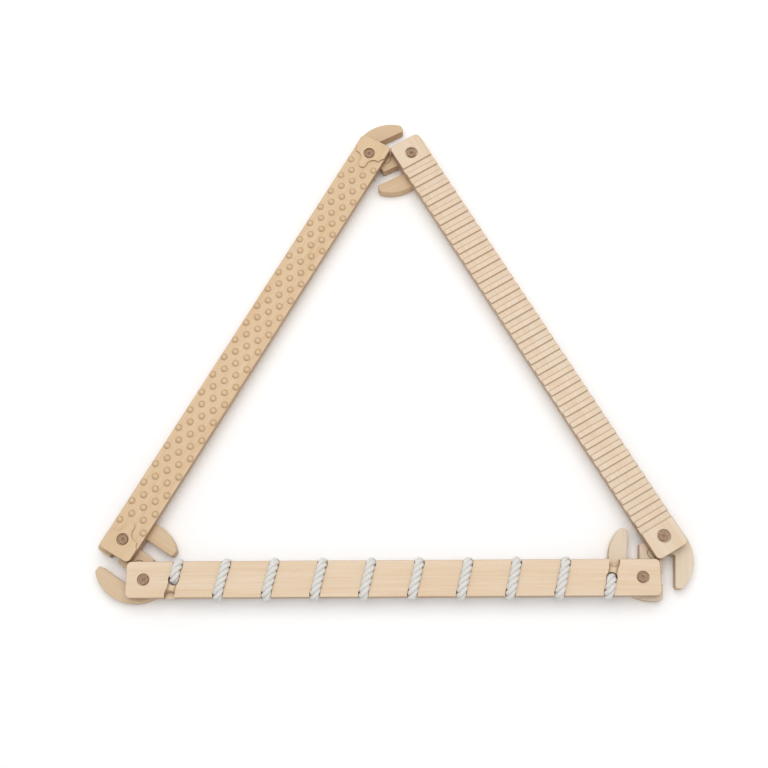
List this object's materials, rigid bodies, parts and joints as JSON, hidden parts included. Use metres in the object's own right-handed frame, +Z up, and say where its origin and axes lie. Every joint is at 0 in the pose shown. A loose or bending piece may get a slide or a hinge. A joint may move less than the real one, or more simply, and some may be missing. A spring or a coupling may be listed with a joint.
{
  "type": "balance beam set",
  "caption": "Triangle of low wooden balance beams with studded, ridged and rope-wound tops, joined by hooked swivel feet.",
  "frame": {"origin": "middle of the bounding box, on the floor", "axes": "+Z up from the floor; +X along the rope-wound beam; +Y from the rope-wound beam towards the opposite corner"},
  "size_m": [0.9112, 0.8082, 0.0505],
  "materials": {
    "beam_wood": "satin clear lacquer",
    "foot_wood": "satin clear lacquer",
    "rope_fibre": "matte twisted cotton",
    "bolt_metal": "bronze plated",
    "sleeve_metal": "zinc plated",
    "pad_rubber": "matte"
  },
  "bodies": {
    "rope_beam": {"rope_beam": "beam_wood", "rope": "rope_fibre", "rope_knot_left": "rope_fibre", "rope_knot_right": "rope_fibre", "bolt_rope_left": "bolt_metal", "sleeve_nut_rope_left": "sleeve_metal", "bolt_rope_right": "bolt_metal", "sleeve_nut_rope_right": "sleeve_metal"},
    "right_feet": {"foot_rope_right": "foot_wood", "pads_rope_right": "pad_rubber", "washer_rope_right": "sleeve_metal", "foot_ridged_right": "foot_wood", "pads_ridged_right": "pad_rubber", "washer_ridged_right": "sleeve_metal"},
    "ridged_beam": {"ridged_beam": "beam_wood", "bolt_ridged_right": "bolt_metal", "sleeve_nut_ridged_right": "sleeve_metal", "bolt_ridged_top": "bolt_metal", "sleeve_nut_ridged_top": "sleeve_metal"},
    "top_feet": {"foot_ridged_top": "foot_wood", "pads_ridged_top": "pad_rubber", "washer_ridged_top": "sleeve_metal", "foot_studded_top": "foot_wood", "pads_studded_top": "pad_rubber", "washer_studded_top": "sleeve_metal"},
    "studded_beam": {"studded_beam": "beam_wood", "bolt_studded_top": "bolt_metal", "sleeve_nut_studded_top": "sleeve_metal", "bolt_studded_left": "bolt_metal", "sleeve_nut_studded_left": "sleeve_metal"},
    "left_studded_foot": {"foot_studded_left": "foot_wood", "pads_studded_left": "pad_rubber", "washer_studded_left": "sleeve_metal"},
    "left_rope_foot": {"foot_rope_left": "foot_wood", "pads_rope_left": "pad_rubber", "washer_rope_left": "sleeve_metal"}
  },
  "joints": [
    {"name": "right_feet_swivel", "type": "hinge", "parent": "rope_beam", "child": "right_feet", "pos_m": [0.37383, -0.37088, 0.0205], "axis": [0, 0, 1], "range_deg": [-10, 40]},
    {"name": "ridged_beam_swivel", "type": "hinge", "parent": "right_feet", "child": "ridged_beam", "pos_m": [0.40932, -0.30939, 0.0205], "axis": [0, 0, 1], "range_deg": [-40, 10]},
    {"name": "top_feet_swivel", "type": "hinge", "parent": "ridged_beam", "child": "top_feet", "pos_m": [0.03433, 0.34013, 0.0205], "axis": [0, 0, 1], "range_deg": [-10, 40]},
    {"name": "studded_beam_swivel", "type": "hinge", "parent": "top_feet", "child": "studded_beam", "pos_m": [-0.03667, 0.34013, 0.0205], "axis": [0, 0, 1], "range_deg": [-40, 10]},
    {"name": "left_studded_foot_swivel", "type": "hinge", "parent": "studded_beam", "child": "left_studded_foot", "pos_m": [-0.41167, -0.30939, 0.0205], "axis": [0, 0, 1], "range_deg": [-10, 40]},
    {"name": "left_rope_foot_swivel", "type": "hinge", "parent": "rope_beam", "child": "left_rope_foot", "pos_m": [-0.37617, -0.37088, 0.0205], "axis": [0, 0, 1], "range_deg": [-10, 40]}
  ],
  "couplings": [
    {"joint": "ridged_beam_swivel", "follows": "right_feet_swivel", "ratio": -1},
    {"joint": "top_feet_swivel", "follows": "right_feet_swivel", "ratio": 1},
    {"joint": "studded_beam_swivel", "follows": "right_feet_swivel", "ratio": -1},
    {"joint": "left_studded_foot_swivel", "follows": "right_feet_swivel", "ratio": 1},
    {"joint": "left_rope_foot_swivel", "follows": "right_feet_swivel", "ratio": 1}
  ]
}
